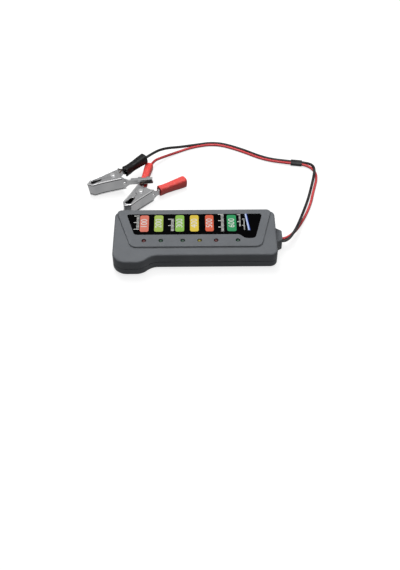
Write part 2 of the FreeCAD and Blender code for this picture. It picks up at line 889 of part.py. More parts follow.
def main():
    outer = outer_form()
    cavity = shrunk_prism(body_corners(), wall, cavity_bottom, cavity_top)
    parts = {
        "front_shell": front_shell(outer, cavity),
        "rear_shell": rear_shell(outer, cavity),
        "front_label": label(front_label_corners(), housing_height - label_recess),
        "rear_label": label(rear_label_corners(), label_set_back),
        "case_screws": case_screws(),
        "cable_grommet": cable_grommet(),
        "circuit_board": circuit_board(),
        "comparator_chip": comparator_chip(),
        "resistors": resistors(),
        "reverse_diode": on_board(diode_place, diode_size),
        "reference_diode": on_board(reference_place, reference_size),
        "filter_capacitor": filter_capacitor(),
        "wire_terminals": wire_terminals(),
        "red_inner_lead": inner_lead(1),
        "black_inner_lead": inner_lead(-1),
        "cable_sleeve": cable_sleeve(),
    }
    for name, x in lamp_places:
        parts[name] = lamp(x)
    parts.update(clip_pieces("black", black_clip_place, black_clip_angles, black_boot_start, False))
    parts.update(clip_pieces("red", red_clip_place, red_clip_angles, red_boot_start, True))
    parts["red_wire"] = wire_tube("red", cord_points(1, red_route))
    parts["black_wire"] = wire_tube("black", cord_points(-1, black_route))
    os.makedirs("parts", exist_ok=True)
    for name, shape in parts.items():
        print(name, len(shape.Solids), round(shape.Volume, 1), shape.isValid())
        shape.exportStep("parts/" + name + ".step")


main()
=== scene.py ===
import json
import math

import bmesh
import bpy
from mathutils import Matrix, Vector
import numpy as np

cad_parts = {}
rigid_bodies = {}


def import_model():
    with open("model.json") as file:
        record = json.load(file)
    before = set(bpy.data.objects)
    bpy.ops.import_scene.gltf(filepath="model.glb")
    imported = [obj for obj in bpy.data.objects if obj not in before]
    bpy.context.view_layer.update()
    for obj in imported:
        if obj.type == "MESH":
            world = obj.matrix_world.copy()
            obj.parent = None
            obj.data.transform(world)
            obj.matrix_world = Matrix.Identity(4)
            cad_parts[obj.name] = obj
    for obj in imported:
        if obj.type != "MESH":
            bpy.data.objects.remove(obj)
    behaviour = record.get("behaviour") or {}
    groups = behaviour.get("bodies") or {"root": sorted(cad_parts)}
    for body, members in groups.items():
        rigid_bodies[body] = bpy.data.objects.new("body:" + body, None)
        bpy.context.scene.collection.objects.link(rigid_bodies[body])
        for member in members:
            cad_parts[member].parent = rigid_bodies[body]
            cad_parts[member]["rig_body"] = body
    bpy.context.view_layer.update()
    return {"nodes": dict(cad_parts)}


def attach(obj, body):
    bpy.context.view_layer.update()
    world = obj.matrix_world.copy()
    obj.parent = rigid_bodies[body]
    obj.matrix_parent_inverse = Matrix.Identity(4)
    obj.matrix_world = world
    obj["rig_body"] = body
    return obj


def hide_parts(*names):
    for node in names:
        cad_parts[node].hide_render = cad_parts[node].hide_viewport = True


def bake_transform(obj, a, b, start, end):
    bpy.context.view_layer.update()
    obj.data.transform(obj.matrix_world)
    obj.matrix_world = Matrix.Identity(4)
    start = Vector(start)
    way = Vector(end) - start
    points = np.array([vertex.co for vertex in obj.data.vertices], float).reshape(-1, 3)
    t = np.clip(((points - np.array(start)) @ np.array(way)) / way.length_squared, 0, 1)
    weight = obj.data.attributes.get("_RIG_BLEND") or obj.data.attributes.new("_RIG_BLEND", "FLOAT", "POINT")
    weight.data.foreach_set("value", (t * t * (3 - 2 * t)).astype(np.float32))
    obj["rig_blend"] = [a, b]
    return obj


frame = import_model()
nodes = frame["nodes"]
scene = bpy.context.scene
scene.view_settings.view_transform = "Standard"


def mm(*place):
    return Vector(place) * 0.001


# Camera
camera = {
    "place": (-4.593, -449.979, 465.288), "yaw": 0.78, "pitch": 48.335, "roll": 0.129,
    "lens": 53.745, "sensor": 36, "nearest": 0.01,
}
yaw, pitch, roll = (math.radians(camera[key]) for key in ("yaw", "pitch", "roll"))
forward = Vector((math.sin(yaw) * math.cos(pitch), math.cos(yaw) * math.cos(pitch), -math.sin(pitch)))
levelRight = Vector((math.cos(yaw), -math.sin(yaw), 0))
levelUp = levelRight.cross(forward)
right = levelRight * math.cos(roll) + levelUp * math.sin(roll)
up = levelUp * math.cos(roll) - levelRight * math.sin(roll)
cameraData = bpy.data.cameras.new("camera")
cameraData.lens = camera["lens"]
cameraData.sensor_width = camera["sensor"]
cameraData.clip_start = camera["nearest"]
cameraObject = bpy.data.objects.new("camera", cameraData)
scene.collection.objects.link(cameraObject)
turned = Matrix((right, up, -forward)).transposed().to_4x4()
cameraObject.matrix_world = Matrix.Translation(mm(*camera["place"])) @ turned
scene.camera = cameraObject
print("camera done")


# Helpers for shaders
def newGroup(name, inputs, outputs):
    group = bpy.data.node_groups.new(name, "ShaderNodeTree")
    for socket, value in inputs.items():
        made = group.interface.new_socket(socket, in_out="INPUT", socket_type="NodeSocketFloat")
        made.default_value = value
    for socket, kind in outputs.items():
        group.interface.new_socket(socket, in_out="OUTPUT", socket_type=kind)
    return group, group.nodes.new("NodeGroupInput"), group.nodes.new("NodeGroupOutput")


def useGroup(tree, group, **values):
    node = tree.nodes.new("ShaderNodeGroup")
    node.node_tree = group
    for socket, value in values.items():
        node.inputs[socket].default_value = value
    return node


def link(tree, source, target):
    tree.links.new(source, target)


def calculate(tree, operation, first, second, clamp=False):
    node = tree.nodes.new("ShaderNodeMath")
    node.operation = operation
    node.use_clamp = clamp
    for socket, value in zip(node.inputs, (first, second)):
        if isinstance(value, (int, float)):
            socket.default_value = value
        else:
            link(tree, value, socket)
    return node.outputs[0]


def spread(tree, value, low, high, toLow=0.0, toHigh=1.0):
    node = tree.nodes.new("ShaderNodeMapRange")
    link(tree, value, node.inputs["Value"])
    node.inputs["From Min"].default_value = low
    node.inputs["From Max"].default_value = high
    node.inputs["To Min"].default_value = toLow
    node.inputs["To Max"].default_value = toHigh
    return node.outputs["Result"]


def noise(tree, scale, detail, stretch=None):
    where = tree.nodes.new("ShaderNodeTexCoord").outputs["Object"]
    if stretch:
        mapping = tree.nodes.new("ShaderNodeMapping")
        mapping.inputs["Scale"].default_value = stretch
        link(tree, where, mapping.inputs["Vector"])
        where = mapping.outputs["Vector"]
    node = tree.nodes.new("ShaderNodeTexNoise")
    link(tree, where, node.inputs["Vector"])
    node.inputs["Detail"].default_value = detail
    if isinstance(scale, (int, float)):
        node.inputs["Scale"].default_value = scale
    else:
        link(tree, scale, node.inputs["Scale"])
    return node.outputs["Fac"]


def mixColour(tree, factor, first, second):
    node = tree.nodes.new("ShaderNodeMix")
    node.data_type = "RGBA"
    link(tree, factor, node.inputs[0])
    for socket, value in ((node.inputs[6], first), (node.inputs[7], second)):
        if isinstance(value, tuple):
            socket.default_value = value
        else:
            link(tree, value, socket)
    return node.outputs[2]


def shaderNode(tree, kind, **values):
    node = tree.nodes.new(kind)
    for socket, value in values.items():
        node.inputs[socket].default_value = value
    return node.outputs[0]


def mixShader(tree, factor, first, second):
    node = tree.nodes.new("ShaderNodeMixShader")
    for socket, source in zip(node.inputs, (factor, first, second)):
        link(tree, source, socket)
    return node.outputs[0]


def rgb(red, green, blue):
    def linear(value):
        value /= 255
        return value / 12.92 if value <= 0.04045 else ((value + 0.055) / 1.055) ** 2.4

    return (linear(red), linear(green), linear(blue), 1.0)


# Shared shader groups
grainPattern = {
    "scale": 2500.0, "detail": 4.0, "cloudShare": 0.03, "cloudDetail": 3.0, "cloudBand": (0.3, 0.7),
}


def makeGrain():
    group, given, put = newGroup(
        "fineGrain", {"Scale": grainPattern["scale"]},
        {"Height": "NodeSocketFloat", "Tone": "NodeSocketFloat"},
    )
    link(group, noise(group, given.outputs["Scale"], grainPattern["detail"]), put.inputs["Height"])
    cloudScale = calculate(group, "MULTIPLY", given.outputs["Scale"], grainPattern["cloudShare"])
    cloud = noise(group, cloudScale, grainPattern["cloudDetail"])
    link(group, spread(group, cloud, *grainPattern["cloudBand"]), put.inputs["Tone"])
    return group


# Edge mask from the bevelled normal: the edges take a finish's rubbed-edge colour, which is rubbing on most
# parts and a painted highlight on the clip steel
edgePattern = {
    "radius": 0.0003, "amount": 0.5, "samples": 6, "turned": (0.995, 0.8),
    "breakScale": 900.0, "breakDetail": 4.0, "breakBand": (0.38, 0.62),
}


def makeEdgeRubAndHighlight():
    group, given, put = newGroup(
        "edgeRubAndHighlight", {"Radius": edgePattern["radius"], "Amount": edgePattern["amount"]},
        {"Mask": "NodeSocketFloat", "Normal": "NodeSocketVector"},
    )
    bevel = group.nodes.new("ShaderNodeBevel")
    bevel.samples = edgePattern["samples"]
    link(group, given.outputs["Radius"], bevel.inputs["Radius"])
    geometry = group.nodes.new("ShaderNodeNewGeometry")
    dot = group.nodes.new("ShaderNodeVectorMath")
    dot.operation = "DOT_PRODUCT"
    link(group, bevel.outputs["Normal"], dot.inputs[0])
    link(group, geometry.outputs["Normal"], dot.inputs[1])
    edge = spread(group, dot.outputs["Value"], *edgePattern["turned"])
    breaks = noise(group, edgePattern["breakScale"], edgePattern["breakDetail"])
    broken = calculate(group, "MULTIPLY", edge, spread(group, breaks, *edgePattern["breakBand"]))
    link(group, calculate(group, "MULTIPLY", broken, given.outputs["Amount"], True), put.inputs["Mask"])
    link(group, bevel.outputs["Normal"], put.inputs["Normal"])
    return group


dustPattern = {
    "amount": 0.2, "upward": (0.2, 1.0),
    "speckScale": 5200.0, "speckDetail": 2.0, "speckBand": (0.62, 0.74), "speckShare": 0.7,
    "cloudScale": 160.0, "cloudDetail": 5.0, "cloudBand": (0.42, 0.7), "cloudShare": 0.6,
}


def makeDust():
    group, given, put = newGroup("dustFilm", {"Amount": dustPattern["amount"]}, {"Mask": "NodeSocketFloat"})
    geometry = group.nodes.new("ShaderNodeNewGeometry")
    parts = group.nodes.new("ShaderNodeSeparateXYZ")
    link(group, geometry.outputs["Normal"], parts.inputs[0])
    upward = spread(group, parts.outputs["Z"], *dustPattern["upward"])
    layers = []
    for kind in ("speck", "cloud"):
        pattern = noise(group, dustPattern[kind + "Scale"], dustPattern[kind + "Detail"])
        band = spread(group, pattern, *dustPattern[kind + "Band"])
        layers.append(calculate(group, "MULTIPLY", band, dustPattern[kind + "Share"]))
    film = calculate(group, "MULTIPLY", calculate(group, "ADD", *layers), upward)
    link(group, calculate(group, "MULTIPLY", film, given.outputs["Amount"], True), put.inputs["Mask"])
    return group


scuffPattern = {
    "amount": 0.4, "lineDetail": 2.0, "patchScale": 45.0, "patchDetail": 3.0, "patchBand": (0.45, 0.65),
    "lines": [(60.0, (1, 14, 4), (0.61, 0.66)), (70.0, (12, 1.2, 5), (0.62, 0.67))],
}


def makeScuffs():
    group, given, put = newGroup(
        "fineScuffs", {"Amount": scuffPattern["amount"]}, {"Mask": "NodeSocketFloat"}
    )
    first, second = (
        spread(group, noise(group, scale, scuffPattern["lineDetail"], stretch), *band)
        for scale, stretch, band in scuffPattern["lines"]
    )
    patches = noise(group, scuffPattern["patchScale"], scuffPattern["patchDetail"])
    patch = spread(group, patches, *scuffPattern["patchBand"])
    lines = calculate(group, "MULTIPLY", calculate(group, "MAXIMUM", first, second), patch)
    link(group, calculate(group, "MULTIPLY", lines, given.outputs["Amount"], True), put.inputs["Mask"])
    return group


grainGroup, edgeRubAndHighlightGroup, dustGroup, scuffGroup = makeGrain(), makeEdgeRubAndHighlight(), makeDust(), makeScuffs()

# Finishes; a finish's own values replace the usual ones
usualLook = {
    "wear": 0.3, "scuff": 0.4, "bumpDepth": 0.00004, "sockets": {}, "dustPaint": rgb(170, 168, 162),
    "scuffRough": 0.2, "dustRough": 0.4, "scuffDepth": 0.6,
}


def makeFinish(name, ownLook):
    look = {**usualLook, **ownLook}
    material = bpy.data.materials.new(name)
    material.use_nodes = True
    tree = material.node_tree
    shader = tree.nodes["Principled BSDF"]
    for socket, value in look["sockets"].items():
        shader.inputs[socket].default_value = value
    grain = useGroup(tree, grainGroup, Scale=look["grain"])
    edges = useGroup(tree, edgeRubAndHighlightGroup, Radius=look["edge"], Amount=look["wear"])
    dust = useGroup(tree, dustGroup, Amount=look["dust"]).outputs["Mask"]
    scuffs = useGroup(tree, scuffGroup, Amount=look["scuff"]).outputs["Mask"]
    colour = mixColour(tree, grain.outputs["Tone"], look["colour"], look["shade"])
    # Rubbed edges, and on the clip steel a painted highlight along the edges
    colour = mixColour(tree, edges.outputs["Mask"], colour, look["worn"])
    colour = mixColour(tree, dust, colour, look["dustPaint"])
    link(tree, colour, shader.inputs["Base Color"])
    rough = spread(tree, grain.outputs["Tone"], 0.0, 1.0, *look["rough"])
    rough = calculate(tree, "ADD", rough, calculate(tree, "MULTIPLY", scuffs, look["scuffRough"]), True)
    rough = calculate(tree, "ADD", rough, calculate(tree, "MULTIPLY", dust, look["dustRough"]), True)
    link(tree, rough, shader.inputs["Roughness"])
    bump = tree.nodes.new("ShaderNodeBump")
    bump.inputs["Strength"].default_value = look["bump"]
    bump.inputs["Distance"].default_value = look["bumpDepth"]
    scratched = calculate(tree, "MULTIPLY", scuffs, look["scuffDepth"])
    link(tree, calculate(tree, "SUBTRACT", grain.outputs["Height"], scratched), bump.inputs["Height"])
    link(tree, edges.outputs["Normal"], bump.inputs["Normal"])
    link(tree, bump.outputs["Normal"], shader.inputs["Normal"])
    return material


metal = {"Metallic": 1.0}
softRed = {"Subsurface Radius": (0.002, 0.0006, 0.0005), "Subsurface Scale": 0.3}
caseGrey = makeFinish("caseGrey", {
    "colour": rgb(114, 117, 121), "shade": rgb(108, 111, 115), "worn": rgb(142, 145, 149),
    "rough": (0.46, 0.54), "grain": 2600.0, "bump": 0.35, "bumpDepth": 0.00005,
    "edge": 0.0003, "wear": 0.25, "dust": 0.08, "sockets": {"Specular IOR Level": 0.32},
})
labelBlack = makeFinish("labelBlack", {
    "colour": rgb(4, 4, 5), "shade": rgb(2, 2, 3), "worn": rgb(24, 24, 26),
    "rough": (0.22, 0.28), "grain": 1500.0, "bump": 0.05,
    "edge": 0.00005, "wear": 0.15, "dust": 0.004, "sockets": {"Specular IOR Level": 0.02},
})
labelSilver = makeFinish("labelSilver", {
    "colour": rgb(168, 176, 186), "shade": rgb(150, 160, 172), "worn": rgb(205, 208, 212),
    "rough": (0.3, 0.4), "grain": 1800.0, "bump": 0.12,
    "edge": 0.00005, "dust": 0.04, "sockets": {"Metallic": 0.75},
})
screwSteel = makeFinish("screwSteel", {
    "colour": rgb(120, 122, 126), "shade": rgb(98, 100, 104), "worn": rgb(190, 192, 195),
    "rough": (0.3, 0.42), "grain": 3000.0, "bump": 0.15,
    "edge": 0.0001, "wear": 0.6, "dust": 0.05, "sockets": metal,
})
softBlack = makeFinish("softBlack", {
    "colour": rgb(30, 30, 32), "shade": rgb(22, 22, 24), "worn": rgb(70, 70, 72),
    "rough": (0.4, 0.5), "grain": 2400.0, "bump": 0.25, "edge": 0.0002, "dust": 0.1,
})
boardGreen = makeFinish("boardGreen", {
    "colour": rgb(24, 92, 54), "shade": rgb(18, 76, 46), "worn": rgb(180, 160, 90),
    "rough": (0.3, 0.4), "grain": 1600.0, "bump": 0.1, "edge": 0.0001, "dust": 0.1,
})
chipBlack = makeFinish("chipBlack", {
    "colour": rgb(26, 26, 28), "shade": rgb(34, 34, 36), "worn": rgb(150, 150, 152),
    "rough": (0.5, 0.62), "grain": 4200.0, "bump": 0.3, "edge": 0.00008, "dust": 0.12,
})
canAluminium = makeFinish("canAluminium", {
    "colour": rgb(180, 182, 185), "shade": rgb(160, 163, 168), "worn": rgb(220, 221, 223),
    "rough": (0.3, 0.4), "grain": 2600.0, "bump": 0.12,
    "edge": 0.0001, "dust": 0.08, "sockets": {"Metallic": 0.9},
})
terminalBrass = makeFinish("terminalBrass", {
    "colour": rgb(186, 150, 80), "shade": rgb(160, 124, 62), "worn": rgb(225, 200, 140),
    "rough": (0.3, 0.42), "grain": 2600.0, "bump": 0.15, "edge": 0.00008, "dust": 0.08, "sockets": metal,
})
wireRed = makeFinish("wireRed", {
    "colour": rgb(232, 80, 84), "shade": rgb(220, 68, 74), "worn": rgb(240, 136, 136),
    "rough": (0.34, 0.42), "grain": 1700.0, "bump": 0.16,
    "edge": 0.00005, "wear": 0.1, "dust": 0.1, "sockets": {"Subsurface Weight": 0.1, **softRed},
})
wireBlack = makeFinish("wireBlack", {
    "colour": rgb(26, 24, 26), "shade": rgb(18, 17, 19), "worn": rgb(66, 64, 66),
    "rough": (0.32, 0.4), "grain": 1700.0, "bump": 0.16, "edge": 0.00005, "wear": 0.1, "dust": 0.12,
})
# Clip steel: the near-white edge colour is a painted highlight along folds and edges
clipSteel = makeFinish("clipSteel", {
    "colour": rgb(212, 212, 213), "shade": rgb(194, 195, 197), "worn": rgb(246, 246, 246),
    "rough": (0.25, 0.33), "grain": 2200.0, "bump": 0.06,
    "edge": 0.0006, "wear": 0.45, "dust": 0.01, "scuff": 0.5, "sockets": metal,
})
# Painted highlight: a lighter, glossier copy of the clip steel, for the fold beads, rivets and studs
highlightSteel = makeFinish("highlightSteel", {
    "colour": rgb(244, 244, 244), "shade": rgb(230, 230, 232), "worn": rgb(252, 252, 252),
    "rough": (0.16, 0.24), "grain": 2200.0, "bump": 0.05,
    "edge": 0.0001, "dust": 0.01, "scuff": 0.5, "sockets": metal,
})
# Painted shade: a dark copy of the clip steel, for shadow lines under the folds and the insides of the jaws
shadeSteel = makeFinish("shadeSteel", {
    "colour": rgb(70, 70, 72), "shade": rgb(54, 54, 56), "worn": rgb(110, 110, 112),
    "rough": (0.4, 0.5), "grain": 2200.0, "bump": 0.1,
    "edge": 0.0001, "wear": 0.2, "dust": 0.02, "sockets": metal,
})
springSteel = makeFinish("springSteel", {
    "colour": rgb(140, 116, 96), "shade": rgb(112, 92, 76), "worn": rgb(190, 176, 160),
    "rough": (0.28, 0.38), "grain": 2600.0, "bump": 0.12, "edge": 0.0001, "dust": 0.04, "sockets": metal,
})
bootRed = makeFinish("bootRed", {
    "colour": rgb(255, 92, 86), "shade": rgb(250, 82, 76), "worn": rgb(255, 146, 138),
    "rough": (0.3, 0.4), "grain": 900.0, "bump": 0.2, "bumpDepth": 0.00008,
    "edge": 0.0003, "wear": 0.15, "dust": 0.08, "sockets": {"Subsurface Weight": 0.12, **softRed},
})
bootBlack = makeFinish("bootBlack", {
    "colour": rgb(24, 23, 24), "shade": rgb(16, 16, 17), "worn": rgb(70, 68, 68),
    "rough": (0.26, 0.38), "grain": 900.0, "bump": 0.35, "bumpDepth": 0.0001,
    "edge": 0.0003, "wear": 0.2, "dust": 0.04, "sockets": {"Specular IOR Level": 0.3},
})


def lampFinish(name, deep, bright):
    return makeFinish(name, {
        "colour": bright, "shade": deep, "worn": bright, "rough": (0.1, 0.16), "grain": 1200.0, "bump": 0.05,
        "edge": 0.0001, "wear": 0.1, "dust": 0.06, "scuff": 0.2,
        "sockets": {"Transmission Weight": 0.35, "IOR": 1.5, "Coat Weight": 0.4, "Coat Roughness": 0.06},
    })


lampRed = lampFinish("lampRed", rgb(96, 22, 24), rgb(128, 30, 32))
lampGreen = lampFinish("lampGreen", rgb(18, 70, 48), rgb(26, 92, 62))
lampYellow = lampFinish("lampYellow", rgb(140, 126, 20), rgb(176, 160, 30))


def inkFinish(name, colour, shade):
    return makeFinish(name, {
        "colour": colour, "shade": shade, "worn": shade, "rough": (0.34, 0.44), "grain": 2600.0, "bump": 0.1,
        "edge": 0.00004, "wear": 0.15, "dust": 0.05,
    })


inkWhite = inkFinish("inkWhite", rgb(232, 232, 228), rgb(218, 218, 214))
print("finishes done")


# Helpers for pieces
def addObject(name, data, body, replaced=()):
    piece = bpy.data.objects.new(name, data)
    scene.collection.objects.link(piece)
    if body:
        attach(piece, body)
    if replaced:
        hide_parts(*replaced)
    return piece


def meshFrom(name, bm, material, sharpAngle):
    bmesh.ops.recalc_face_normals(bm, faces=bm.faces)
    mesh = bpy.data.meshes.new(name)
    bm.to_mesh(mesh)
    bm.free()
    mesh.materials.append(material)
    mesh.shade_smooth()
    mesh.set_sharp_from_angle(angle=math.radians(sharpAngle))
    return mesh


mergedCopy = {"sameCorner": 2e-6, "sliver": 1e-7, "sharpAngle": 32}


def smoothCopy(node, material):
    bm = bmesh.new()
    bm.from_mesh(nodes[node].data)
    bmesh.ops.remove_doubles(bm, verts=bm.verts, dist=mergedCopy["sameCorner"])
    bmesh.ops.dissolve_degenerate(bm, edges=bm.edges, dist=mergedCopy["sliver"])
    first, *others = node.split("_")
    name = first + "".join(word.capitalize() for word in others)
    mesh = meshFrom(name, bm, material, mergedCopy["sharpAngle"])
    piece = addObject(name, mesh, nodes[node]["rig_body"], [node])
    modifier = piece.modifiers.new("weightedNormals", "WEIGHTED_NORMAL")
    modifier.keep_sharp = True
    return piece


def paintNode(node, material):
    nodes[node].data.materials.clear()
    nodes[node].data.materials.append(material)


def roundCurve(name, kind, points, radius, roundness, smoothness):
    curve = bpy.data.curves.new(name, "CURVE")
    curve.dimensions = "3D"
    curve.bevel_depth = radius * 0.001
    curve.bevel_resolution = roundness
    curve.use_fill_caps = True
    curve.resolution_u = smoothness
    spline = curve.splines.new(kind)
    spline.points.add(len(points) - 1)
    for point, place in zip(spline.points, points):
        point.co = (*mm(*place), 1.0)
    spline.order_u = 3
    spline.use_endpoint_u = True
    return curve


def addCurve(bm, curve, place=Matrix()):
    holder = bpy.data.objects.new(curve.name, curve)
    scene.collection.objects.link(holder)
    made = bpy.data.meshes.new_from_object(holder.evaluated_get(bpy.context.evaluated_depsgraph_get()))
    made.transform(place)
    bm.from_mesh(made)
    bpy.data.objects.remove(holder)
    bpy.data.curves.remove(curve)
    bpy.data.meshes.remove(made)


# Cords, with the routes of the CAD wires and a steeper start at the case
cordShape = {
    "radius": 1.1, "roundness": 6, "smoothness": 16,
    "redRoute": [
        (58, 4.05, 7.2), (61, 4.05, 7.2), (66.9, 4.05, 7.2), (76.1, 16.7, 3), (85.3, 35.4, 1.4),
        (90.9, 50.5, 1.2), (93.2, 60.5, 1.2), (99.7, 83.8, 1.2), (93, 95.2, 1.9), (75.5, 98, 1.9),
        (56.2, 103.1, 1.2), (36.1, 115.9, 1.2), (16.6, 124.5, 1.2), (-3, 120.6, 1.2), (-16.5, 113.6, 1.3),
        (-27, 106.6, 2.6), (-38.02, 97.67, 4.6), (-41.11, 80.47, 5.49),
    ],
    "blackRoute": [
        (58, 1.65, 7.2), (61, 1.65, 7.2), (67.7, 1.65, 7.2), (74.6, 11.6, 9), (80.7, 29.8, 4.4),
        (87.4, 49.8, 1.4), (90.8, 61, 1.2), (96.3, 81.2, 4.3), (97.1, 90.6, 4.3), (93, 97.9, 1.9),
        (76, 100.4, 1.9), (57.2, 105.3, 1.2), (37.4, 118.1, 1.2), (16.8, 127, 1.2), (-3.3, 122.8, 1.3),
        (-14.8, 117.6, 3.6), (-26, 109.3, 9.4), (-35.35, 99.28, 13.59), (-46.97, 88.7, 12.02),
    ],
}


def cordPiece(name, route, material, node):
    curve = roundCurve(
        name, "NURBS", cordShape[route], cordShape["radius"], cordShape["roundness"], cordShape["smoothness"]
    )
    curve.materials.append(material)
    return addObject(name, curve, "tester", [node])


redWire = cordPiece("redWire", "redRoute", wireRed, "red_wire")
blackWire = cordPiece("blackWire", "blackRoute", wireBlack, "black_wire")
print("cords done")

# Case; the pieces inside it keep their CAD meshes
casePieces = {
    node: smoothCopy(node, material)
    for node, material, slotName in (
        ("front_shell", caseGrey, "case_grey"),
        ("rear_shell", caseGrey, "case_grey"),
        ("front_label", labelBlack, "label_black"),
        ("rear_label", labelSilver, "label_silver"),
        ("case_screws", screwSteel, "screw_steel"),
        ("cable_grommet", softBlack, "grommet_black"),
        ("cable_sleeve", softBlack, "sleeve_black"),
        ("led_1_red", lampRed, "lamp_red"),
        ("led_2_green", lampGreen, "lamp_green"),
        ("led_3_green", lampGreen, "lamp_green"),
        ("led_4_yellow", lampYellow, "lamp_yellow"),
        ("led_5_red", lampRed, "lamp_red"),
        ("led_6_green", lampGreen, "lamp_green"),
    )
}
for node, material, slotName in (
    ("circuit_board", boardGreen, "board_green"),
    ("comparator_chip", chipBlack, "chip_black"),
    ("resistors", chipBlack, "chip_black"),
    ("reverse_diode", chipBlack, "chip_black"),
    ("reference_diode", chipBlack, "chip_black"),
    ("filter_capacitor", canAluminium, "can_aluminium"),
    ("wire_terminals", terminalBrass, "terminal_brass"),
    ("red_inner_lead", wireRed, "wire_red"),
    ("black_inner_lead", wireBlack, "wire_black"),
):
    paintNode(node, material)
print("case done")

# Print on the front label; lengths run from the case's left end and its far side
labelPrint = {
    "caseMiddle": (63.25, 26.75), "base": 16.45, "tileRise": 0.03, "inkRise": 0.06, "sharpAngle": 30,
    "tiles": [
        ("tileFirst", 19.5, 26.2, rgb(226, 128, 108), rgb(214, 112, 94), "100"),
        ("tileSecond", 30.4, 37.1, rgb(172, 196, 92), rgb(160, 184, 80), "200"),
        ("tileThird", 46.2, 52.9, rgb(146, 196, 84), rgb(134, 184, 74), "300"),
        ("tileFourth", 57.3, 63.8, rgb(234, 206, 72), rgb(222, 192, 60), "400"),
        ("tileFifth", 68.8, 75.1, rgb(226, 104, 72), rgb(214, 92, 62), "500"),
        ("tileSixth", 85.2, 92.2, rgb(34, 156, 94), rgb(26, 142, 84), "600"),
    ],
    "tileDepth": (6.1, 23.7), "tileCorner": 1.6, "cornerSteps": 8, "numeralSize": 6.6,
    "ticks": [
        (14.9, 19.0, 6.6, 20.9), (40.8, 45.2, 10.4, 22.6), (78.6, 82.8, 5.5, 23.3), (93.0, 95.6, 6.0, 18.0),
        (96.7, 98.6, 10.7, 21.5),
    ],
    "tickPitch": 1.35, "tickHalf": 0.3, "longTickEvery": 5, "shortTick": 0.5,
}


def onCase(x, depth, rise):
    middleX, middleDepth = labelPrint["caseMiddle"]
    return mm(x - middleX, middleDepth - depth, labelPrint["base"] + rise)


def addBlock(bm, low, high):
    middle, size = (low + high) / 2, high - low
    place = Matrix.Translation(middle) @ Matrix.Diagonal((*size, 1))
    return bmesh.ops.create_cube(bm, size=1.0, matrix=place)["verts"]


def addPrint(name, bm, ink):
    addObject(name, meshFrom(name, bm, ink, labelPrint["sharpAngle"]), "tester")


far, near = labelPrint["tileDepth"]
for name, left, rightEdge, colour, shade, numeral in labelPrint["tiles"]:
    bm = bmesh.new()
    addBlock(bm, onCase(left, near, 0), onCase(rightEdge, far, labelPrint["tileRise"]))
    halfRise = labelPrint["tileRise"] * 0.001 / 2
    upright = [edge for edge in bm.edges if abs(edge.verts[0].co.z - edge.verts[1].co.z) > halfRise]
    bmesh.ops.bevel(
        bm, geom=upright, offset=labelPrint["tileCorner"] * 0.001, offset_type="OFFSET",
        segments=labelPrint["cornerSteps"], profile=0.5, affect="EDGES", material=-1,
    )
    addPrint(name, bm, inkFinish(name + "Ink", colour, shade))

bm = bmesh.new()
for left, rightEdge, farEnd, nearEnd in labelPrint["ticks"]:
    count = int((nearEnd - farEnd) / labelPrint["tickPitch"])
    for index in range(count + 1):
        depth = farEnd + (nearEnd - farEnd) * index / count
        reach = labelPrint["shortTick"] if index % labelPrint["longTickEvery"] else 1.0
        low = onCase(rightEdge - (rightEdge - left) * reach, depth + labelPrint["tickHalf"], 0)
        addBlock(bm, low, onCase(rightEdge, depth - labelPrint["tickHalf"], labelPrint["tileRise"]))
addPrint("labelTicks", bm, inkWhite)

bm = bmesh.new()
for name, left, rightEdge, colour, shade, numeral in labelPrint["tiles"]:
    text = bpy.data.curves.new("numeral", "FONT")
    text.body = numeral
    text.size = labelPrint["numeralSize"] * 0.001
    text.extrude = labelPrint["inkRise"] * 0.001 / 2
    text.align_x = "CENTER"
    text.align_y = "CENTER"
    middle = onCase((left + rightEdge) / 2, (far + near) / 2, labelPrint["inkRise"])
    addCurve(bm, text, Matrix.Translation(middle) @ Matrix.Rotation(math.pi / 2, 4, "Z"))
numerals = bpy.data.meshes.new("labelNumerals")
bm.to_mesh(numerals)
bm.free()
numerals.materials.append(inkWhite)
addObject("labelNumerals", numerals, "tester")

stripe = {
    "left": 98.9, "right": 100.5, "far": 5.0, "near": 22.6, "lean": 2.0,
    "bands": [
        ("stripePale", 0.0, 0.7, rgb(204, 218, 246), rgb(170, 190, 240)),
        ("stripeBlue", 0.7, 1.0, rgb(70, 96, 190), rgb(60, 84, 178)),
    ],
}
for name, start, end, colour, shade in stripe["bands"]:
    bm = bmesh.new()
    width = stripe["right"] - stripe["left"]
    low = onCase(stripe["left"] + width * start, stripe["near"], 0)
    high = onCase(stripe["left"] + width * end, stripe["far"], labelPrint["tileRise"])
    for vert in addBlock(bm, low, high):
        share = (vert.co.y - low.y) / (high.y - low.y)
        vert.co.x += (1 - share) * stripe["lean"] * 0.001
    addPrint(name, bm, inkFinish(name + "Ink", colour, shade))
print("label print done")

# Clips; each clip's own x runs from the jaws to the handles, with its pivot at zero
clips = {
    "black": {
        "place": (-66.87, 68.96, 9.35), "turn": 18.31, "tilt": 7.8, "roll": -3.5,
        "bootStart": 0.3, "mouthReach": 1.8,
    },
    "red": {
        "place": (-44.91, 52.61, 6.9), "turn": 55.82, "tilt": -3.2, "roll": 0.0,
        "bootStart": 2.0, "mouthReach": 0.6,
    },
}


def clipMatrix(clip):
    turnTo = Matrix.Rotation(math.radians(clip["turn"]), 4, "Z")
    tiltTo = Matrix.Rotation(math.radians(-clip["tilt"]), 4, "Y")
    rollTo = Matrix.Rotation(math.radians(clip["roll"]), 4, "X")
    return Matrix.Translation(mm(*clip["place"])) @ turnTo @ tiltTo @ rollTo


roundSteel = {"roundness": 3, "smoothness": 8, "sharpAngle": 50}
springShape = {
    "coilRadius": 2.6, "wireRadius": 0.5, "pitch": 1.15, "turns": 4.7778, "coilSteps": 170,
    "legAngle": 50.0, "legLength": 10.4, "legSteps": 4, "bendReach": 4.5,
}


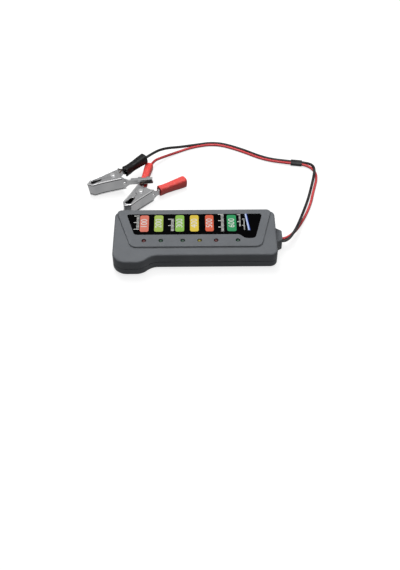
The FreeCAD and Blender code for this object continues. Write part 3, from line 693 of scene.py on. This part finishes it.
def buildSpring(name, clip, body, node):
    lean = math.radians(springShape["legAngle"])
    sweep = math.tau * springShape["turns"]
    height = springShape["pitch"] * springShape["turns"]
    coil = []
    for index in range(springShape["coilSteps"] + 1):
        share = index / springShape["coilSteps"]
        angle = math.pi / 2 - lean + sweep * share
        flat = Vector((math.cos(angle), math.sin(angle), 0)) * springShape["coilRadius"]
        coil.append(flat + Vector((0, 0, height * (share - 0.5))))
    shares = [(step + 1) / springShape["legSteps"] for step in range(springShape["legSteps"])]
    firstLeg = Vector((math.cos(lean), -math.sin(lean), 0)) * springShape["legLength"]
    lastLeg = Vector((math.cos(lean), math.sin(lean), 0)) * springShape["legLength"]
    before = [coil[0] + firstLeg * share for share in reversed(shares)]
    after = [coil[-1] + lastLeg * share for share in shares]
    bm = bmesh.new()
    addCurve(bm, roundCurve(
        name, "POLY", before + coil + after, springShape["wireRadius"],
        roundSteel["roundness"], roundSteel["smoothness"],
    ))
    mesh = meshFrom(name, bm, springSteel, roundSteel["sharpAngle"])
    mesh.transform(clipMatrix(clip))
    spring = addObject(name, mesh, None, [node])
    firstEnd, lastEnd = (clipMatrix(clip) @ mm(0, side * springShape["bendReach"], 0) for side in (1, -1))
    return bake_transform(spring, "tester", body, firstEnd, lastEnd)


# Boots; the profile gives distance, half width, half thickness and share of the creases
bootShape = {
    "handleStart": (12.0, 9.0), "handleEnd": (28.0, 16.1), "inward": 1.9, "wireInward": 2.15,
    "length": 22.0, "sides": 64, "rings": 48, "square": 3.2, "wall": 0.7, "cavity": 18.0,
    "mouthFade": 6.0, "tongueFade": 2.5, "girthFade": 6.0, "sharpAngle": 50,
    "profile": [
        (0.0, 4.0, 3.4, 1.0), (0.5, 4.05, 3.45, 0.9), (1.6, 3.9, 3.35, 0.8), (3.4, 3.75, 3.25, 0.5),
        (7.0, 3.75, 3.25, 0.3), (11.0, 3.95, 3.4, 0.2), (15.0, 4.2, 3.6, 0.2), (19.0, 4.4, 3.8, 0.15),
        (21.2, 4.4, 3.8, 0.1), (21.7, 4.25, 3.65, 0.05), (22.0, 3.8, 3.2, 0.0),
    ],
    "cavityEnd": (2.6, 2.2), "inside": [(8.0, 2.8, 2.4, 0.0), (2.0, 3.0, 2.5, 0.3)], "lip": (0.2, 0.9),
    "wireHole": [(22.05, 2.2, 2.4), (22.0, 1.7, 2.0), (21.8, 1.5, 2.0)],  # distance, radius, squareness
    "closedEnd": [(21.9, 2.7, 2.2), (21.4, 2.5, 2.0), (21.3, 1.1, 0.9)],
    "creases": [(7, 0.9, 1, 0.6), (12, -1.4, 2, 0.4)],  # waves around and along, phase, depth
    "tongueWaves": (3, 0.7, 0.3),
}
boots = {
    "blackClipWiredBoot": {
        "clip": "black", "side": 1, "node": "black_clip_wired_boot", "body": "tester", "wired": True,
        "material": bootBlack, "slot": "boot_black", "crease": 0.08, "points": 7, "tongue": 1.7, "phase": 0.7,
        "length": 19.4, "girth": 0.95,
    },
    "redClipWiredBoot": {
        "clip": "red", "side": 1, "node": "red_clip_wired_boot", "body": "tester", "wired": True,
        "material": bootRed, "slot": "boot_red", "crease": 0.025, "points": 3, "tongue": 0.3, "phase": 2.1,
        "length": 22.8, "girth": 0.9,
    },
    "redClipFreeBoot": {
        "clip": "red", "side": -1, "node": "red_clip_free_boot", "body": "red_free_jaw", "wired": False,
        "material": bootRed, "slot": "boot_red", "crease": 0.025, "points": 3, "tongue": 0.3, "phase": 4.0,
        "length": 23.8, "girth": 1.0,
    },
}


def profileAt(distance):
    for low, high in zip(bootShape["profile"], bootShape["profile"][1:]):
        if distance <= high[0]:
            share = (distance - low[0]) / (high[0] - low[0])
            return [first + (last - first) * share for first, last in zip(low, high)]
    return list(bootShape["profile"][-1])


def buildBoot(name, look):
    clip, side, phase = clips[look["clip"]], look["side"], look["phase"]
    startX, startY = bootShape["handleStart"]
    endX, endY = bootShape["handleEnd"]
    start = Vector((startX, side * startY, 0))
    along = (Vector((endX, side * endY, 0)) - start).normalized()
    inward = Vector((side * along.y, -side * along.x, 0))
    wide = Vector((0, 0, 1))
    origin = start + along * clip["bootStart"] + inward * bootShape["inward"]
    stretch = look["length"] / bootShape["length"]
    bm = bmesh.new()
    angles = bm.verts.layers.float.new("angle")
    ring = bmesh.ops.create_circle(bm, segments=bootShape["sides"], radius=1.0)["verts"]
    for vert in ring:
        vert[angles] = math.atan2(vert.co.y, vert.co.x)

    def shape(verts, distance, halfWide, halfThick, fold, shift=0.0, square=bootShape["square"]):
        tongueCount, tongueBase, tongueSwing = bootShape["tongueWaves"]
        for vert in verts:
            angle = vert[angles]
            wideShare, thickShare = math.cos(angle), math.sin(angle)
            reach = (abs(wideShare) ** square + abs(thickShare) ** square) ** (-1 / square)
            crease = sum(
                math.sin(around * angle + lengthwise * distance + turns * phase) * depth
                for around, lengthwise, turns, depth in bootShape["creases"]
            )
            reach *= 1 + crease * fold * look["crease"]
            point = abs((angle / math.tau * look["points"] + phase) % 1 - 0.5) * 2
            swing = tongueSwing * math.sin(tongueCount * angle + phase)
            tongue = look["tongue"] * point * (tongueBase + swing)
            reachBack = clip["mouthReach"] * max(0.0, 1 - distance / bootShape["mouthFade"])
            reachBack += tongue * max(0.0, 1 - distance / bootShape["tongueFade"])
            place = origin + along * (distance * stretch - reachBack)
            place += wide * (wideShare * reach * halfWide) + inward * (thickShare * reach * halfThick + shift)
            vert.co = place * 0.001

    def extruded(verts):
        chosen = set(verts)
        rim = [edge for edge in bm.edges if len(edge.link_faces) < 2 and chosen.issuperset(edge.verts)]
        made = bmesh.ops.extrude_edge_only(bm, edges=rim)["geom"]
        return [item for item in made if isinstance(item, bmesh.types.BMVert)]

    cavity = bootShape["cavity"] / stretch
    mouthWide, mouthThick = (half - bootShape["wall"] for half in bootShape["profile"][0][1:3])
    lipDistance, lipFold = bootShape["lip"]
    shape(ring, cavity, *bootShape["cavityEnd"], 0.0)
    for step in bootShape["inside"] + [(lipDistance, mouthWide, mouthThick, lipFold)]:
        ring = extruded(ring)
        shape(ring, *step)
    for index in range(bootShape["rings"] + 1):
        distance = bootShape["length"] * index / bootShape["rings"]
        ring = extruded(ring)
        where, halfWide, halfThick, fold = profileAt(distance)
        girth = 1 + (look["girth"] - 1) * min(1.0, distance / bootShape["girthFade"])
        shape(ring, where, halfWide * girth, halfThick * girth, fold)
    if look["wired"]:
        holeShift = bootShape["wireInward"] - bootShape["inward"]
        innerRadius, innerSquare = bootShape["wireHole"][-1][1:]
        for distance, radius, square in bootShape["wireHole"] + [(cavity, innerRadius, innerSquare)]:
            ring = extruded(ring)
            shape(ring, distance, radius, radius, 0.0, holeShift, square)
        bmesh.ops.bridge_loops(bm, edges=[edge for edge in bm.edges if edge.is_boundary])
    else:
        for distance, halfWide, halfThick in bootShape["closedEnd"]:
            ring = extruded(ring)
            shape(ring, distance, halfWide, halfThick, 0.0)
        bmesh.ops.holes_fill(bm, edges=[edge for edge in bm.edges if edge.is_boundary])
    bm.verts.layers.float.remove(angles)
    mesh = meshFrom(name, bm, look["material"], bootShape["sharpAngle"])
    mesh.transform(clipMatrix(clip))
    return addObject(name, mesh, look["body"], [look["node"]])


# The opening between the jaws, a lens in the CAD levers, becomes a blunt wedge
jawMouth = {
    "front": -16.8, "rear": -8.2, "halfWidth": 2.0, "edgeBand": 0.3, "tip": -21.4, "lip": 0.9,
    "newFront": -18.4, "newHalfWidth": 2.6, "bluntness": 0.3, "wedgePeak": 0.495,
}


def widenMouth(piece, clip):
    toClip = clipMatrix(clip).inverted()
    front, rear, tip = jawMouth["front"], jawMouth["rear"], jawMouth["tip"]
    closed = (jawMouth["newFront"] - tip) / (front - tip)
    for vert in piece.data.vertices:
        local = toClip @ vert.co * 1000
        share = (rear - local.x) / (rear - front)
        edge = 4 * jawMouth["halfWidth"] * share * (1 - share)
        if 0 < share < 1 and abs(abs(local.y) - edge) < jawMouth["edgeBand"]:
            wedge = share * (1 - share) ** jawMouth["bluntness"] / jawMouth["wedgePeak"]
            local.x = rear + (jawMouth["newFront"] - rear) * share
            local.y += math.copysign(jawMouth["newHalfWidth"] * wedge - edge, local.y)
        elif tip < local.x <= front and abs(local.y) < jawMouth["lip"]:
            local.x = tip + (local.x - tip) * closed
        vert.co = clipMatrix(clip) @ (local * 0.001)


# Painted shade: faces inside the jaws, ahead of the pivot, get the dark steel as second material
leverInside = {"rear": -4.0, "wallBand": 3.6, "wallFrom": 2.0, "facing": 0.5}


def paintShadeInside(piece, clip):
    toClip = clipMatrix(clip).inverted()
    piece.data.materials.append(shadeSteel)
    for face in piece.data.polygons:
        centre = toClip @ face.center * 1000
        normal = toClip.to_3x3() @ face.normal
        if abs(centre.z) < leverInside["wallBand"]:
            inside = normal.y * centre.y < 0 and abs(normal.y) > leverInside["facing"]
            inside = inside and abs(centre.y) > leverInside["wallFrom"]
        else:
            inside = normal.z * centre.z < 0 and abs(normal.z) > leverInside["facing"]
        if inside and centre.x < leverInside["rear"]:
            face.material_index = 1


# Fold beads along the top edges in the light steel (painted highlight), and thin strips just below them in
# the dark steel (painted shadow lines)
leverFolds = {
    "line": [
        (-21.0, 0.35), (-18.6, 2.75), (-17.6, 3.7), (-16.2, 3.8), (-10.2, 4.28), (-3.0, 5.55), (4.0, 6.72),
        (5.6, 7.0),
    ],
    "heights": {"wired": 4.75, "free": 5.75},
    "Folds": {"outward": 0.0, "drop": 0.36, "radius": 0.58, "material": highlightSteel},
    "ShadowLines": {"outward": 0.2, "drop": 1.1, "radius": 0.32, "material": shadeSteel},
}


def buildFold(name, clip, side, lever, body, part):
    strip = leverFolds[part]
    height = leverFolds["heights"][lever] - strip["drop"]
    bm = bmesh.new()
    for face in (-1, 1):
        line = [(x, side * (y + strip["outward"]), face * height) for x, y in leverFolds["line"]]
        addCurve(bm, roundCurve(
            name, "NURBS", line, strip["radius"], roundSteel["roundness"], roundSteel["smoothness"]
        ))
    mesh = meshFrom(name, bm, strip["material"], roundSteel["sharpAngle"])
    mesh.transform(clipMatrix(clip))
    return addObject(name, mesh, body)


# Domed stud on the free lever's side, in the light steel as a painted highlight
leverStud = {
    "place": (6.9, -7.45, 0.0), "outward": (-0.154, -0.988, 0.0), "radius": 1.4, "rise": 0.85,
    "around": 32, "over": 16,
}


def buildStud(name, clip, body):
    bm = bmesh.new()
    facing = Vector(leverStud["outward"]).to_track_quat("Z", "Y").to_matrix().to_4x4()
    squash = Matrix.Diagonal((1, 1, leverStud["rise"] / leverStud["radius"], 1))
    bmesh.ops.create_uvsphere(
        bm, u_segments=leverStud["around"], v_segments=leverStud["over"], radius=leverStud["radius"] * 0.001,
        matrix=Matrix.Translation(mm(*leverStud["place"])) @ facing @ squash,
    )
    mesh = meshFrom(name, bm, highlightSteel, roundSteel["sharpAngle"])
    mesh.transform(clipMatrix(clip))
    return addObject(name, mesh, body)


clipPieces = {}
for colour, clip in clips.items():
    jaw = colour + "_free_jaw"
    levers = [
        smoothCopy(colour + "_clip_wired_lever", clipSteel),
        smoothCopy(colour + "_clip_free_lever", clipSteel),
    ]
    for piece in levers:
        widenMouth(piece, clip)
        paintShadeInside(piece, clip)
    clipPieces[colour] = levers + [
        # Rivet in the light steel: painted highlight
        smoothCopy(colour + "_clip_rivet", highlightSteel),
        buildSpring(colour + "ClipSpring", clip, jaw, colour + "_clip_spring"),
        buildStud(colour + "ClipStud", clip, jaw),
    ]
    for part in ("Folds", "ShadowLines"):
        clipPieces[colour].append(buildFold(colour + "ClipWired" + part, clip, 1, "wired", "tester", part))
        clipPieces[colour].append(buildFold(colour + "ClipFree" + part, clip, -1, "free", jaw, part))
for name, look in boots.items():
    clipPieces[look["clip"]].append(buildBoot(name, look))
print("clips done")

# Floor, white where the camera sees it and dim where the pieces do
floorLook = {
    "halfSide": 6.0, "height": -0.05, "paint": (0.95, 0.95, 0.95, 1), "bounce": (0.13, 0.13, 0.135, 1),
    "glow": 1.25, "mirrored": 0.5, "glowReach": (0.2, 0.6), "glowShare": (0.64, 1.0),
}
bm = bmesh.new()
bmesh.ops.create_grid(
    bm, x_segments=1, y_segments=1, size=floorLook["halfSide"],
    matrix=Matrix.Translation(mm(0, 0, floorLook["height"])),
)
floorMesh = bpy.data.meshes.new("floor")
bm.to_mesh(floorMesh)
bm.free()
floorPaint = bpy.data.materials.new("floorPaint")
floorPaint.use_nodes = True
tree = floorPaint.node_tree
tree.nodes.clear()
path = tree.nodes.new("ShaderNodeLightPath").outputs
away = tree.nodes.new("ShaderNodeVectorMath")
away.operation = "LENGTH"
link(tree, tree.nodes.new("ShaderNodeTexCoord").outputs["Object"], away.inputs[0])
shown = mixShader(
    tree, spread(tree, away.outputs["Value"], *floorLook["glowReach"], *floorLook["glowShare"]),
    shaderNode(tree, "ShaderNodeBsdfDiffuse", Color=floorLook["paint"]),
    shaderNode(tree, "ShaderNodeEmission", Strength=floorLook["glow"]),
)
unseen = mixShader(
    tree, path["Is Glossy Ray"],
    shaderNode(tree, "ShaderNodeBsdfDiffuse", Color=floorLook["bounce"]),
    shaderNode(tree, "ShaderNodeEmission", Strength=floorLook["mirrored"]),
)
seen = calculate(tree, "MAXIMUM", path["Is Camera Ray"], path["Is Transmission Ray"])
out = tree.nodes.new("ShaderNodeOutputMaterial")
link(tree, mixShader(tree, seen, unseen, shown), out.inputs["Surface"])
floorMesh.materials.append(floorPaint)
floor = bpy.data.objects.new("floor", floorMesh)
scene.collection.objects.link(floor)

# Background, white to the camera, soft on the pieces and brighter overhead in their reflections
worldLook = {
    "white": (1, 1, 1, 1), "soft": (0.95, 0.97, 1.0, 1), "softStrength": 0.145,
    "overhead": (0.05, 0.6, 0.16, 0.8), "nearSide": (-0.8, 0.4, 1.7, 0.85),
}
world = bpy.data.worlds.new("world")
scene.world = world
world.use_nodes = True
tree = world.node_tree
tree.nodes.clear()
path = tree.nodes.new("ShaderNodeLightPath").outputs
direction = tree.nodes.new("ShaderNodeSeparateXYZ")
link(tree, tree.nodes.new("ShaderNodeTexCoord").outputs["Generated"], direction.inputs[0])
overhead = spread(tree, direction.outputs["Z"], *worldLook["overhead"])
nearSide = spread(tree, direction.outputs["Y"], *worldLook["nearSide"])
mirrored = tree.nodes.new("ShaderNodeBackground")
link(tree, calculate(tree, "MULTIPLY", overhead, nearSide), mirrored.inputs["Strength"])
soft = shaderNode(tree, "ShaderNodeBackground", Color=worldLook["soft"], Strength=worldLook["softStrength"])
unseen = mixShader(tree, path["Is Glossy Ray"], soft, mirrored.outputs[0])
white = shaderNode(tree, "ShaderNodeBackground", Color=worldLook["white"], Strength=1.0)
out = tree.nodes.new("ShaderNodeOutputWorld")
link(tree, mixShader(tree, path["Is Camera Ray"], unseen, white), out.inputs["Surface"])

lamps = {
    "keyLamp": {
        "place": (-120, 330, 620), "target": (0, 30, 0), "size": 0.42, "power": 2.7, "mirrored": False,
    },
    "topLamp": {
        "place": (60, 40, 800), "target": (0, 30, 0), "size": 0.6, "power": 2.3, "mirrored": True,
    },
}
for name, lamp in lamps.items():
    light = bpy.data.lights.new(name, "AREA")
    light.shape = "DISK"
    light.size = lamp["size"]
    light.energy = lamp["power"]
    holder = bpy.data.objects.new(name, light)
    scene.collection.objects.link(holder)
    holder.visible_glossy = lamp["mirrored"]
    aim = (mm(*lamp["target"]) - mm(*lamp["place"])).to_track_quat("-Z", "Y")
    holder.matrix_world = Matrix.Translation(mm(*lamp["place"])) @ aim.to_matrix().to_4x4()
print("light done")
